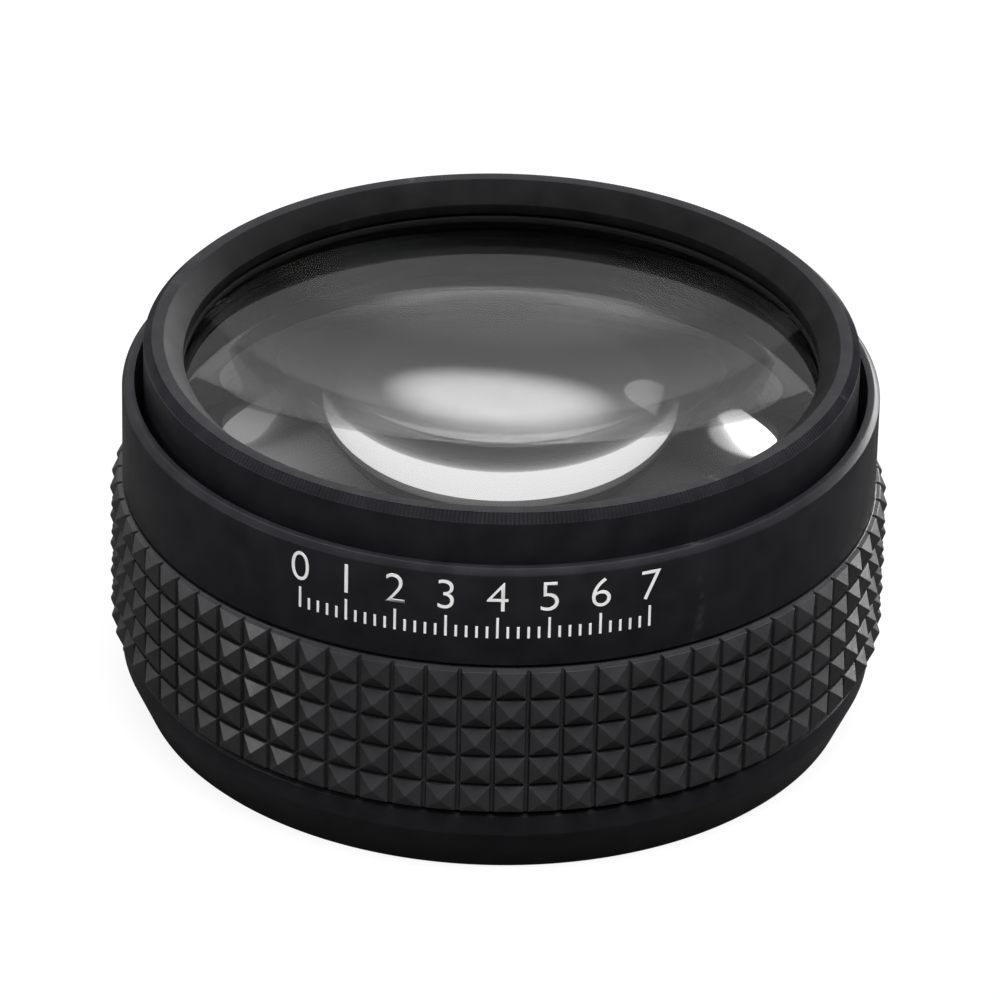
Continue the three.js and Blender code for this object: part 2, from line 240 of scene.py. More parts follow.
class Surface:
    """A Principled material with helpers for the procedural nodes that feed it."""

    def __init__(self, name, **constants):
        self.material = bpy.data.materials.new(name)
        self.material.use_nodes = True
        self.tree = self.material.node_tree
        self.shader = self.tree.nodes["Principled BSDF"]
        for socket, value in constants.items():
            self.shader.inputs[socket.replace("_", " ")].default_value = value
        self.place = self.tree.nodes.new("ShaderNodeTexCoord").outputs["Object"]

    def node(self, kind, inputs=(), **settings):
        """A new shader node; each input takes another node's output or a constant."""
        node = self.tree.nodes.new("ShaderNode" + kind)
        for name, value in settings.items():
            setattr(node, name, value)
        for key, value in dict(inputs).items():
            if isinstance(value, bpy.types.NodeSocket):
                self.tree.links.new(value, node.inputs[key])
            else:
                node.inputs[key].default_value = value
        return node

    def noise(self, scale, detail=3.0, roughness=0.5, place=None):
        inputs = {"Vector": place or self.place, "Scale": scale}
        inputs |= {"Detail": detail, "Roughness": roughness}
        return self.node("TexNoise", inputs).outputs["Fac"]

    def turning_place(self):
        """Coordinates that change only along the profile, so a texture runs round the axis."""
        split = self.node("SeparateXYZ", {"Vector": self.place})
        flat = self.node("CombineXYZ", {"X": split.outputs["X"], "Y": split.outputs["Y"]})
        reach = self.node("VectorMath", {0: flat.outputs[0]}, operation="LENGTH")
        return self.node(
            "CombineXYZ", {"X": reach.outputs["Value"], "Z": split.outputs["Z"]}
        ).outputs[0]

    def ranged(self, value, from_low, from_high, to_low, to_high):
        """The value moved from one range to another, and held within it."""
        inputs = {"Value": value, "From Min": from_low, "From Max": from_high}
        inputs |= {"To Min": to_low, "To Max": to_high}
        return self.node("MapRange", inputs).outputs["Result"]

    def mixed(self, factor, first, second):
        """From the first colour, which may be a node's output, to the second."""
        mix = self.node("Mix", {"Factor": factor}, data_type="RGBA")
        if isinstance(first, bpy.types.NodeSocket):
            self.tree.links.new(first, mix.inputs["A"])
        else:
            mix.inputs["A"].default_value = (*first, 1)
        mix.inputs["B"].default_value = (*second, 1)
        return mix.outputs["Result"]

    def set(self, socket, value):
        self.tree.links.new(value, self.shader.inputs[socket])

    def bump(self, height, strength, distance, under=None):
        inputs = {"Height": height, "Strength": strength, "Distance": distance}
        if under is not None:
            inputs["Normal"] = under
        return self.node("Bump", inputs).outputs["Normal"]

    def edge_wear(self, low_edge, high_edge):
        """From 0 on a flat face to 1 on a convex corner."""
        pointed = self.node("NewGeometry").outputs["Pointiness"]
        return self.ranged(pointed, low_edge, high_edge, 0.0, 1.0)


WORN_COLOUR = (0.10, 0.10, 0.105)
SATIN_REFLECTION = 0.11  # Principled specular level of the anodised faces
FINE_RELIEF = 0.00002  # metres; height of turning lines and grain


def anodised_metal(name, dark, light, roughness, spread, line_strength, wear):
    """Black anodised aluminium: faint turning lines, a mottled sheen and paler corners."""
    surface = Surface(name, Metallic=0.0, Specular_IOR_Level=SATIN_REFLECTION)
    mottle = surface.noise(420.0, detail=4.0)
    colour = surface.mixed(surface.ranged(mottle, 0.35, 0.65, 0.0, 1.0), dark, light)
    worn = surface.edge_wear(0.53, 0.60)
    patchy = surface.ranged(surface.noise(900.0), 0.45, 0.7, 0.0, wear)
    amount = surface.node("Math", {0: worn, 1: patchy}, operation="MULTIPLY").outputs[0]
    surface.set("Base Color", surface.mixed(amount, colour, WORN_COLOUR))
    cloudy = surface.noise(160.0, detail=5.0, roughness=0.6)
    surface.set(
        "Roughness", surface.ranged(cloudy, 0.3, 0.7, roughness - spread, roughness + spread)
    )
    lines = surface.noise(5200.0, detail=2.0, place=surface.turning_place())
    grain = surface.noise(9000.0, detail=2.0)
    turning = surface.bump(lines, line_strength, FINE_RELIEF)
    surface.set("Normal", surface.bump(grain, 0.05, FINE_RELIEF, under=turning))
    return surface.material


def moulded_rubber():
    """Black rubber with a fine grain and a little pale dust in it."""
    surface = Surface("grip_rubber", Specular_IOR_Level=0.35)
    mottle = surface.ranged(surface.noise(300.0, detail=5.0), 0.3, 0.7, 0.0, 1.0)
    colour = surface.mixed(mottle, (0.017, 0.017, 0.0185), (0.028, 0.028, 0.030))
    specks = surface.ranged(surface.noise(5200.0, detail=1.0), 0.74, 0.82, 0.0, 0.5)
    surface.set("Base Color", surface.mixed(specks, colour, (0.05, 0.05, 0.052)))
    cloudy = surface.noise(700.0, detail=4.0)
    surface.set("Roughness", surface.ranged(cloudy, 0.3, 0.7, 0.26, 0.35))
    fine = surface.noise(6500.0, detail=3.0, roughness=0.6)
    coarse = surface.noise(1500.0, detail=3.0)
    shallow = surface.bump(coarse, 0.15, 0.0001)
    surface.set("Normal", surface.bump(fine, 0.2, 0.00004, under=shallow))
    return surface.material


GLASS_INDEX = 1.62


def optical_glass(name, reflection):
    """Clear dense glass, very slightly less than perfectly clear in places.

    The reflection scales what a face mirrors when looked at squarely: 1 for bare glass, less
    under an anti-reflection coating, and more for a face that mirrors more than bare glass.
    """
    surface = Surface(
        name,
        Roughness=0.0,
        IOR=GLASS_INDEX,
        Transmission_Weight=1.0,
        Specular_Tint=(reflection, reflection, reflection, 1.0),
    )
    haze = surface.ranged(surface.noise(90.0, detail=2.0), 0.35, 0.65, 0.0, 1.0)
    surface.set("Base Color", surface.mixed(haze, (1.0, 1.0, 1.0), (0.985, 0.99, 0.985)))
    return surface.material


def plain_grained(name, dark, light, roughness, grain_scale, grain_strength, metallic=0.0):
    """A plain material for the small parts and the ink: two close tones and a fine grain."""
    surface = Surface(name, Metallic=metallic, Specular_IOR_Level=0.2)
    mottle = surface.noise(500.0, detail=4.0)
    colour = surface.mixed(surface.ranged(mottle, 0.3, 0.7, 0.0, 1.0), dark, light)
    surface.set("Base Color", colour)
    surface.set("Roughness", surface.ranged(mottle, 0.3, 0.7, roughness - 0.06, roughness + 0.06))
    surface.set("Normal", surface.bump(surface.noise(grain_scale), grain_strength, 0.00003))
    return surface.material


SATIN = anodised_metal(
    "anodised_black",
    dark=(0.0105, 0.0105, 0.0125),
    light=(0.0155, 0.0155, 0.018),
    roughness=0.36,
    spread=0.04,
    line_strength=0.10,
    wear=0.35,
)
MATTE = anodised_metal(
    "blackened_inner",
    dark=(0.003, 0.003, 0.0035),
    light=(0.006, 0.006, 0.0065),
    roughness=0.58,
    spread=0.06,
    line_strength=0.20,
    wear=0.1,
)
RUBBER = moulded_rubber()
COATED_GLASS = optical_glass("coated_glass", reflection=0.02)
BRIGHT_GLASS = optical_glass("bright_glass", reflection=2.0)
STEEL = plain_grained(
    "black_steel",
    dark=(0.03, 0.03, 0.033),
    light=(0.06, 0.06, 0.064),
    roughness=0.38,
    grain_scale=4000.0,
    grain_strength=0.2,
    metallic=0.9,
)
NYLON = plain_grained(
    "black_nylon",
    dark=(0.006, 0.006, 0.0065),
    light=(0.01, 0.01, 0.0105),
    roughness=0.6,
    grain_scale=5000.0,
    grain_strength=0.25,
)
INK = plain_grained(
    "white_marking",
    dark=(0.82, 0.82, 0.81),
    light=(0.92, 0.92, 0.91),
    roughness=0.55,
    grain_scale=7000.0,
    grain_strength=0.3,
)


# ---------------------------------------------------------------- barrel and base ring

SPIGOT_RADIUS = 28.0  # lower end of the barrel, inside the base ring
GRIP_SEAT_RADIUS = COLLAR_RADIUS - 1.1  # bed of the rubber on the barrel
COLLAR_BOTTOM = GRIP_TOP + GAP
COLLAR_CHAMFER = 0.45
COLLAR_BORE_RADIUS = COLLAR_RADIUS - 1.0
GROOVE_FLOOR = COLLAR_BOTTOM + 0.8  # of the groove inside the collar that the bezel dips into
SCREW_HEIGHT = 10.8  # of the guide screws
SCREW_HOLE_RADIUS = 1.8
SCREW_ANGLES = (90, 210, 330)  # degrees round the axis
BAR_SIDES = 40


def radial_bar(bar_radius, start, end, height, angle):
    """A round cutter pointing away from the axis."""
    outline = [(0.0, start), (bar_radius, start), (bar_radius, end), (0.0, end)]
    vertices, faces = lathe(outline, BAR_SIDES, closed=False)
    cos, sin = math.cos(math.radians(angle)), math.sin(math.radians(angle))
    placed = [
        (along * cos - y * sin, along * sin + y * cos, height + x) for x, y, along in vertices
    ]
    return make_cutter("hole", placed, faces)


def make_barrel():
    """The barrel with its collar, and the holes of the three guide screws."""
    outline = [
        (BORE_RADIUS, BARREL_BOTTOM),
        (SPIGOT_RADIUS, BARREL_BOTTOM),
        (SPIGOT_RADIUS, GRIP_BOTTOM),
        (GRIP_SEAT_RADIUS, GRIP_BOTTOM),
        (GRIP_SEAT_RADIUS, COLLAR_BOTTOM),
        (COLLAR_RADIUS, COLLAR_BOTTOM),
        (COLLAR_RADIUS, COLLAR_TOP - COLLAR_CHAMFER),
        (COLLAR_RADIUS - COLLAR_CHAMFER, COLLAR_TOP),
        (COLLAR_BORE_RADIUS, COLLAR_TOP),
        (COLLAR_BORE_RADIUS, GROOVE_FLOOR),
        (BORE_RADIUS, GROOVE_FLOOR),
    ]
    piece = turned_piece("barrel_body", outline, "barrel", ["barrel"], SATIN)
    inner, outer = BORE_RADIUS - OVERCUT, GRIP_SEAT_RADIUS + OVERCUT
    holes = [
        radial_bar(SCREW_HOLE_RADIUS, inner, outer, SCREW_HEIGHT, angle) for angle in SCREW_ANGLES
    ]
    cut_away(piece, holes)


FOOT_RADIUS = 28.4
FOOT_BORE_RADIUS = 25.6
FOOT_THICKNESS = 1.9
LAND_BOTTOM = 4.0  # where the ring starts to taper
RING_CHAMFER = 0.3


def make_base_ring():
    """The ring screwed on below: a narrow land, a taper and a foot turned inwards."""
    outline = [
        (FOOT_BORE_RADIUS, RING_CHAMFER),
        (FOOT_BORE_RADIUS + RING_CHAMFER, 0.0),
        (FOOT_RADIUS - RING_CHAMFER, 0.0),
        (FOOT_RADIUS, RING_CHAMFER),
        (LAND_RADIUS, LAND_BOTTOM),
        (LAND_RADIUS, LAND_TOP - RING_CHAMFER),
        (LAND_RADIUS - RING_CHAMFER, LAND_TOP),
        (SPIGOT_RADIUS + GAP, LAND_TOP),
        (SPIGOT_RADIUS + GAP, FOOT_THICKNESS),
        (FOOT_BORE_RADIUS, FOOT_THICKNESS),
    ]
    turned_piece("foot_ring", outline, "barrel", ["base_ring"], SATIN)


make_barrel()
make_base_ring()


# ---------------------------------------------------------------- rubber grip

GRIP_COLUMNS = 72
GRIP_ROWS = 5
GRIP_BED_RADIUS = GRIP_SEAT_RADIUS + GAP
GROOVE_BED_RADIUS = COLLAR_RADIUS + 0.05
PYRAMID_FOOT_RADIUS = COLLAR_RADIUS + 0.4
TIP_RADIUS = COLLAR_RADIUS + 0.98
GROOVE_WIDTH = 0.34  # between the feet of two pyramids
GROOVE_BED_WIDTH = 0.16
TIP_WIDTH = 0.16
GRIP_BEVEL = 0.05
GRIP_BEVEL_ANGLE = math.radians(20)  # edges sharper than this are rounded


def make_grip():
    """A sleeve covered in blunt square pyramids with narrow grooves between them."""
    step = 2 * math.pi / GRIP_COLUMNS
    pitch = (GRIP_TOP - GRIP_BOTTOM) / GRIP_ROWS
    vertices = []
    faces = []

    def point(reach, angle, height):
        vertices.append((reach * math.cos(angle), reach * math.sin(angle), height))
        return len(vertices) - 1

    def square(reach, column, row, width):
        """Four corners of a square round the middle of one cell."""
        middle_angle = (column + 0.5) * step
        middle_height = GRIP_BOTTOM + (row + 0.5) * pitch
        half_turn = width / 2 / COLLAR_RADIUS
        return [
            point(reach, middle_angle + across * half_turn, middle_height + up * width / 2)
            for across, up in ((-1, -1), (1, -1), (1, 1), (-1, 1))
        ]

    def join(outer, inner):
        for i in range(4):
            k = (i + 1) % 4
            faces.append((outer[i], outer[k], inner[k], inner[i]))

    grid = [
        [
            point(GROOVE_BED_RADIUS, column * step, GRIP_BOTTOM + row * pitch)
            for column in range(GRIP_COLUMNS)
        ]
        for row in range(GRIP_ROWS + 1)
    ]
    for row in range(GRIP_ROWS):
        for column in range(GRIP_COLUMNS):
            after = (column + 1) % GRIP_COLUMNS
            cell = [grid[row][column], grid[row][after]]
            cell += [grid[row + 1][after], grid[row + 1][column]]
            bed = square(GROOVE_BED_RADIUS, column, row, pitch - GROOVE_BED_WIDTH)
            foot = square(PYRAMID_FOOT_RADIUS, column, row, pitch - GROOVE_WIDTH)
            tip = square(TIP_RADIUS, column, row, TIP_WIDTH)
            join(cell, bed)
            join(bed, foot)
            join(foot, tip)
            faces.append(tuple(tip))

    inside = [
        [point(GRIP_BED_RADIUS, column * step, height) for column in range(GRIP_COLUMNS)]
        for height in (GRIP_TOP, GRIP_BOTTOM)
    ]
    rings = [grid[GRIP_ROWS], inside[0], inside[1], grid[0]]
    for lower, upper in zip(rings, rings[1:]):
        for column in range(GRIP_COLUMNS):
            after = (column + 1) % GRIP_COLUMNS
            faces.append((lower[column], lower[after], upper[after], upper[column]))

    piece = make_piece(
        "grip_sleeve", vertices, faces, "barrel", ["rubber_grip"], RUBBER
    )
    bevel = piece.modifiers.new("soft_edges", "BEVEL")
    bevel.width = GRIP_BEVEL * MM
    bevel.segments = 2
    bevel.limit_method = "ANGLE"
    bevel.angle_limit = GRIP_BEVEL_ANGLE
    bevel.harden_normals = True


make_grip()


# ---------------------------------------------------------------- eyepiece metalwork

BEZEL_LAND_RADIUS = 26.7
BEZEL_BEVEL = 0.6
PLAIN_WALL_DROP = 0.9  # from the top down to where the plain wall ends
APERTURE_RADIUS = 25.15
BEZEL_SOFTNESS = 0.05
SERRATIONS = 540
SERRATION_DEPTH = 0.08


def make_bezel():
    """The turned ring over the glass, with fine notches milled round its top outer edge."""
    chamfer = BEZEL_LAND_RADIUS - APERTURE_RADIUS
    wall = [
        (CELL_RADIUS + GAP, BEZEL_BOTTOM),
        (BEZEL_RADIUS, BEZEL_BOTTOM),
        (BEZEL_RADIUS, BEZEL_TOP - PLAIN_WALL_DROP),
    ]
    notched = [
        (BEZEL_RADIUS, BEZEL_TOP - BEZEL_BEVEL),
        (BEZEL_RADIUS - BEZEL_BEVEL, BEZEL_TOP),
    ]
    outline = softened(
        [
            *wall,
            *notched,
            (BEZEL_LAND_RADIUS, BEZEL_TOP),
            (APERTURE_RADIUS, BEZEL_TOP - chamfer),
            (APERTURE_RADIUS, CELL_TOP + GAP),
            (CELL_RADIUS + GAP, CELL_TOP + GAP),
        ],
        BEZEL_SOFTNESS,
    )
    bevel_start = len(wall) * (CORNER_STEPS + 1)
    bevel_end = bevel_start + len(notched) * (CORNER_STEPS + 1)
    vertices, faces = lathe(outline, sides=2 * SERRATIONS)
    count = len(outline)
    # Every other side goes in, but for the first and last points, so wall and land stay round.
    for side in range(0, 2 * SERRATIONS, 2):
        for j in range(bevel_start + 1, bevel_end - 1):
            x, y, z = vertices[side * count + j]
            reach = math.hypot(x, y)
            pulled_in = (reach - SERRATION_DEPTH) / reach
            vertices[side * count + j] = (x * pulled_in, y * pulled_in, z - SERRATION_DEPTH)
    bezel = make_piece(
        "bezel_ring", vertices, faces, "eyepiece", ["eyepiece_bezel"], SATIN
    )
    bezel.data.materials.append(MATTE)
    for polygon in bezel.data.polygons:
        if math.hypot(*polygon.center.xy) < BEZEL_LAND_RADIUS * MM:
            polygon.material_index = 1  # blackened


LOWER_POCKET_RADIUS = RETAINER_RADIUS + GAP
UPPER_POCKET_RADIUS = UPPER_LENS_RADIUS + GAP
RIDGE_PITCH = 0.6
RIDGE_DEPTH = 0.22
CELL_SOFTNESS = 0.04
DAMPING_BORE_RADIUS = 26.2
GUIDE_PIN_RADIUS = 1.0
GUIDE_GROOVE_FLOOR = 25.45
GUIDE_STEPS = 24  # along the straight sides of a guide groove
SLOT_END_STEPS = 6  # from the side of the slot to the tip of its round end
FOCUS_UP = 2.5
FOCUS_DOWN = 1.5
FOCUS_LEAD = 14.4  # rise of the eyepiece in one full turn


def ridges(start, end, reach):
    """Points of a zigzag that runs from one height to another along a straight wall."""
    count = round(abs(end - start) / RIDGE_PITCH)
    points = []
    for i in range(count):
        for share, depth in ((0.0, 0.0), (0.5, RIDGE_DEPTH)):
            points.append((reach - depth, start + (end - start) * (i + share) / count))
    return points


def guide_groove_cutter(angle):
    """A slot along the helix that the guide pin follows, as wide as the pin and its clearance."""
    half_width = GUIDE_PIN_RADIUS + GAP
    slope = math.atan2(FOCUS_LEAD, 2 * math.pi * CELL_RADIUS)

    def edge_point(rise, direction, reach):
        """A point at half the slot's width from where the pin stands at this rise."""
        across = half_width * math.cos(slope + direction)
        up = half_width * math.sin(slope + direction)
        turn = math.radians(angle) - 2 * math.pi * rise / FOCUS_LEAD + across / CELL_RADIUS
        return (reach * math.cos(turn), reach * math.sin(turn), SCREW_HEIGHT - rise + up)

    quarter = math.pi / 2
    travel = FOCUS_UP + FOCUS_DOWN
    round_end = [quarter * i / SLOT_END_STEPS for i in range(1, SLOT_END_STEPS + 1)]
    side = [(FOCUS_UP, turned - 2 * quarter) for turned in (0.0, *round_end[:-1])]
    side += [(FOCUS_UP - travel * i / GUIDE_STEPS, -quarter) for i in range(GUIDE_STEPS + 1)]
    side += [(-FOCUS_DOWN, turned - quarter) for turned in round_end]
    outer = CELL_RADIUS + OVERCUT
    rails = ((1, GUIDE_GROOVE_FLOOR), (-1, GUIDE_GROOVE_FLOOR), (-1, outer), (1, outer))
    vertices = [
        edge_point(rise, mirror * direction, reach)
        for mirror, reach in rails
        for rise, direction in side
    ]
    count = len(side)
    faces = []
    for rail in range(len(rails)):
        this, after = rail * count, (rail + 1) % len(rails) * count
        for i in range(count - 1):
            faces.append((this + i, this + i + 1, after + i + 1, after + i))
    return make_cutter("groove", vertices, faces)


def make_cell():
    """The tube that holds both lenses, grooved outside for the damping ring and guide pins."""
    ledge = SPACER_BOTTOM - GAP
    seat = SPACER_TOP - GAP
    damping_bottom = low("damping_ring") - GAP
    damping_top = high("damping_ring") + GAP
    floor_radius = DAMPING_BORE_RADIUS - GAP
    thread_top = RETAINER_BOTTOM - GAP
    thread = ridges(thread_top, CELL_BOTTOM + RIDGE_PITCH, LOWER_POCKET_RADIUS)
    outline = [
        (LOWER_POCKET_RADIUS, CELL_BOTTOM),
        (CELL_RADIUS - RING_CHAMFER, CELL_BOTTOM),
        (CELL_RADIUS, CELL_BOTTOM + RING_CHAMFER),
        (CELL_RADIUS, damping_bottom),
        (floor_radius, damping_bottom),
        (floor_radius, damping_top),
        (CELL_RADIUS, damping_top),
        (CELL_RADIUS, CELL_TOP),
        (UPPER_POCKET_RADIUS, CELL_TOP),
        (UPPER_POCKET_RADIUS, seat),
        (SPACER_RADIUS + GAP, seat),
        (SPACER_RADIUS + GAP, ledge),
        (LOWER_POCKET_RADIUS, ledge),
        *thread,
    ]
    piece = turned_piece(
        "lens_cell_body",
        outline,
        "eyepiece",
        ["lens_cell"],
        MATTE,
        CELL_SOFTNESS,
    )
    for angle in SCREW_ANGLES:
        cut_away(piece, [guide_groove_cutter(angle)])


SPACER_TOP_BORE = 24.5
SPACER_BOTTOM_BORE = 23.4
SPACER_SOFTNESS = 0.03
WASHER_SOFTNESS = 0.06


def make_spacer():
    """The ring between the lenses, its bore narrowing downwards."""
    outline = [
        (SPACER_BOTTOM_BORE, SPACER_BOTTOM),
        (SPACER_RADIUS, SPACER_BOTTOM),
        (SPACER_RADIUS, SPACER_TOP),
        (SPACER_TOP_BORE, SPACER_TOP),
    ]
    turned_piece(
        "spacer_ring",
        outline,
        "eyepiece",
        ["lens_spacer"],
        MATTE,
        SPACER_SOFTNESS,
    )


def make_washer():
    """The thin ring between the upper lens and the bezel's lip."""
    outline = [
        (APERTURE_RADIUS, WASHER_BOTTOM),
        (WASHER_RADIUS, WASHER_BOTTOM),
        (WASHER_RADIUS, WASHER_TOP),
        (APERTURE_RADIUS, WASHER_TOP),
    ]
    turned_piece(
        "lens_washer",
        outline,
        "eyepiece",
        ["upper_lens_washer"],
        NYLON,
        WASHER_SOFTNESS,
    )


RETAINER_BORE = 22.6
RETAINER_CHAMFER = 0.5
SPANNER_SLOT_WIDTH = 1.6
SPANNER_SLOT_DEPTH = 0.5


def slot_cutter(half_length, half_width, bottom, top):
    """A box across the whole ring, which cuts both of its spanner slots."""
    vertices = [
        (x, y, z)
        for z in (bottom, top)
        for x, y in (
            (-half_length, -half_width),
            (half_length, -half_width),
            (half_length, half_width),
            (-half_length, half_width),
        )
    ]
    sides = [(i, (i + 1) % 4, (i + 1) % 4 + 4, i + 4) for i in range(4)]
    return make_cutter("slot", vertices, [(3, 2, 1, 0), (4, 5, 6, 7), *sides])


def make_retainer():
    """The ring that holds the lower lens up, with two slots for a spanner."""
    outline = [
        (RETAINER_BORE, RETAINER_BOTTOM + RETAINER_CHAMFER),
        (RETAINER_BORE + RETAINER_CHAMFER, RETAINER_BOTTOM),
        (RETAINER_RADIUS, RETAINER_BOTTOM),
        (RETAINER_RADIUS, RETAINER_TOP),
        (RETAINER_BORE, RETAINER_TOP),
    ]
    piece = turned_piece(
        "retaining_ring",
        outline,
        "eyepiece",
        ["lower_retaining_ring"],
        MATTE,
    )
    cutter = slot_cutter(
        RETAINER_RADIUS + OVERCUT,
        SPANNER_SLOT_WIDTH / 2,
        RETAINER_BOTTOM - OVERCUT,
        RETAINER_BOTTOM + SPANNER_SLOT_DEPTH,
    )
    cut_away(piece, [cutter])


make_bezel()
make_cell()
make_spacer()
make_washer()
make_retainer()


# ---------------------------------------------------------------- lenses

UPPER_CURVE = 75.0
LOWER_CURVE = 40.0
DOME_STEPS = 40
RIM_BEVEL = 0.08  # the ground edge round each lens
RIM_SLOPE = 0.1  # faces whose normals rise or fall less than this are the blackened rim
DOME_SLOPE = -0.5  # faces whose normals fall more than this are the dome


def dome_drop(curve, reach):
    """How far a sphere's surface has risen from its lowest point at this reach."""
    return curve - math.sqrt(curve**2 - reach**2)


def make_lens(name, replaced, lens_radius, top, tip, curve):
    """Flat above, domed below, with small ground bevels and a blackened rim."""
    dome_reach = lens_radius - RIM_BEVEL
    dome = [
        (dome_reach * i / DOME_STEPS, tip + dome_drop(curve, dome_reach * i / DOME_STEPS))
        for i in range(DOME_STEPS + 1)
    ]
    rim_bottom = dome[-1][1] + RIM_BEVEL
    outline = [
        *dome,
        (lens_radius, rim_bottom),
        (lens_radius, top - RIM_BEVEL),
        (lens_radius - RIM_BEVEL, top),
        (0.0, top),
    ]
    vertices, faces = lathe(outline, closed=False)
    lens = make_piece(
        name, vertices, faces, "eyepiece", [replaced], COATED_GLASS
    )
    lens.data.materials.append(MATTE)
    for polygon in lens.data.polygons:
        if abs(polygon.normal.z) < RIM_SLOPE:
            polygon.material_index = 1  # blackened
    return lens


make_lens(
    "upper_lens_glass",
    "upper_lens",
    UPPER_LENS_RADIUS,
    UPPER_LENS_TOP,
    UPPER_LENS_TIP,
    UPPER_CURVE,
)
lower_lens = make_lens(
    "lower_lens_glass",
    "lower_lens",
    LOWER_LENS_RADIUS,
    LOWER_LENS_TOP,
    LOWER_LENS_TIP,
    LOWER_CURVE,
)
lower_lens.data.materials.append(BRIGHT_GLASS)
for polygon in lower_lens.data.polygons:
    if polygon.normal.z < DOME_SLOPE:
        polygon.material_index = 2  # the face that mirrors the panel


# ---------------------------------------------------------------- marking on the collar

MARK_LIFT = 0.01  # from the collar to the back of the ink
MARK_THICKNESS = 0.03
MARK_START = -30.0  # degrees from the front, seen from outside, left to right
MARK_END = 23.0
NUMERAL_BASE = 24.2
NUMERAL_HEIGHT = 2.5
TICK_BASE = 21.8
TICK_WIDTH = 0.2
MAJOR_TICK = 1.8
MINOR_TICK = 1.0
NUMERALS = "01234567"
TICK_SPACES = 5  # from one numeral's tick to the next
NUMERAL_THINNING = -0.012  # offset of the letter shapes, as a share of their size
NUMERAL_RESOLUTION = 8


def wrap_on_collar(x, y, depth):
    """A point of a flat drawing, in millimetres round the collar, above the foot and outwards."""
    angle = x / COLLAR_RADIUS - math.pi / 2
    reach = COLLAR_RADIUS + depth
    return (reach * math.cos(angle), reach * math.sin(angle), y)


def numeral_mesh(character):
    """One numeral as a flat mesh, its height 1 and its middle at x = 0."""
    curve = bpy.data.curves.new("numeral", "FONT")
    curve.body = character
    curve.align_x = "CENTER"
    curve.offset = NUMERAL_THINNING
    curve.resolution_u = NUMERAL_RESOLUTION
    text = bpy.data.objects.new("numeral", curve)
    bpy.context.scene.collection.objects.link(text)
    bpy.context.view_layer.update()
    result = text.evaluated_get(bpy.context.evaluated_depsgraph_get())
    mesh = bpy.data.meshes.new_from_object(result)
    bpy.data.objects.remove(text)
    points = np.array([v.co[:2] for v in mesh.vertices])
    points[:, 1] -= points[:, 1].min()
    points /= points[:, 1].max()
    polygons = [tuple(p.vertices) for p in mesh.polygons]
    bpy.data.meshes.remove(mesh)
    return points, polygons


def make_marking():
    """A plain scale: eight numerals over a row of long and short ticks."""
    vertices = []
    faces = []

    def add_flat(points, polygons):
        """The drawing wrapped on the collar and given its thickness."""
        offset, count = len(vertices), len(points)
        for depth in (MARK_LIFT, MARK_LIFT + MARK_THICKNESS):
            vertices.extend(wrap_on_collar(x, y, depth) for x, y in points)
        border = {}
        for polygon in polygons:
            faces.append(tuple(offset + i for i in reversed(polygon)))
            faces.append(tuple(offset + count + i for i in polygon))
            for a, b in zip(polygon, polygon[1:] + polygon[:1]):
                border[(a, b)] = (b, a) not in border
                if (b, a) in border:
                    border[(b, a)] = False
        for (a, b), on_edge in border.items():
            if on_edge:
                faces.append((offset + a, offset + b, offset + count + b, offset + count + a))

    def add_tick(x, height):
        half = TICK_WIDTH / 2
        corners = [(x - half, TICK_BASE), (x + half, TICK_BASE)]
        corners += [(x + half, TICK_BASE + height), (x - half, TICK_BASE + height)]
        add_flat(corners, [(0, 1, 2, 3)])

    first = math.radians(MARK_START) * COLLAR_RADIUS
    last = math.radians(MARK_END) * COLLAR_RADIUS
    spacing = (last - first) / (len(NUMERALS) - 1)
    for i, character in enumerate(NUMERALS):
        x = first + i * spacing
        points, polygons = numeral_mesh(character)
        placed = points * NUMERAL_HEIGHT + np.array((x, NUMERAL_BASE))
        add_flat([tuple(p) for p in placed], polygons)
        add_tick(x, MAJOR_TICK)
        if i < len(NUMERALS) - 1:
            for k in range(1, TICK_SPACES):
                add_tick(x + spacing * k / TICK_SPACES, MINOR_TICK)
    make_piece("collar_scale", vertices, faces, "barrel", [], INK)


make_marking()


# ---------------------------------------------------------------- carried-over CAD nodes

finishes = {"damping_ring": NYLON}
for number in range(1, len(SCREW_ANGLES) + 1):
    finishes[f"guide_screw_{number}"] = STEEL
    finishes[f"bezel_screw_{number}"] = STEEL
for node_name, finish in finishes.items():
    for material_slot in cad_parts[node_name].material_slots:
        material_slot.material = finish


# ---------------------------------------------------------------- stage and light

FLOOR_SIZE = 6.0
FLOOR_ALBEDO = 0.08  # low, so that the floor does not light the black metal from below
FLOOR_GLOW = 0.9  # seen by the camera only: it keeps the floor white
BACK_GLOW = 0.82  # brightness of the white surroundings behind the object
FRONT_GLOW = 0.12  # and on the camera's side
GLOW_START, GLOW_END = -0.1, 0.5  # the directions' Y between which one goes over into the other
LIGHT_TARGET = Vector((0.0, 0.0, 0.02))
LIGHT_EDGE = 0.5  # from the middle of a light to its rim, in the light's own coordinates


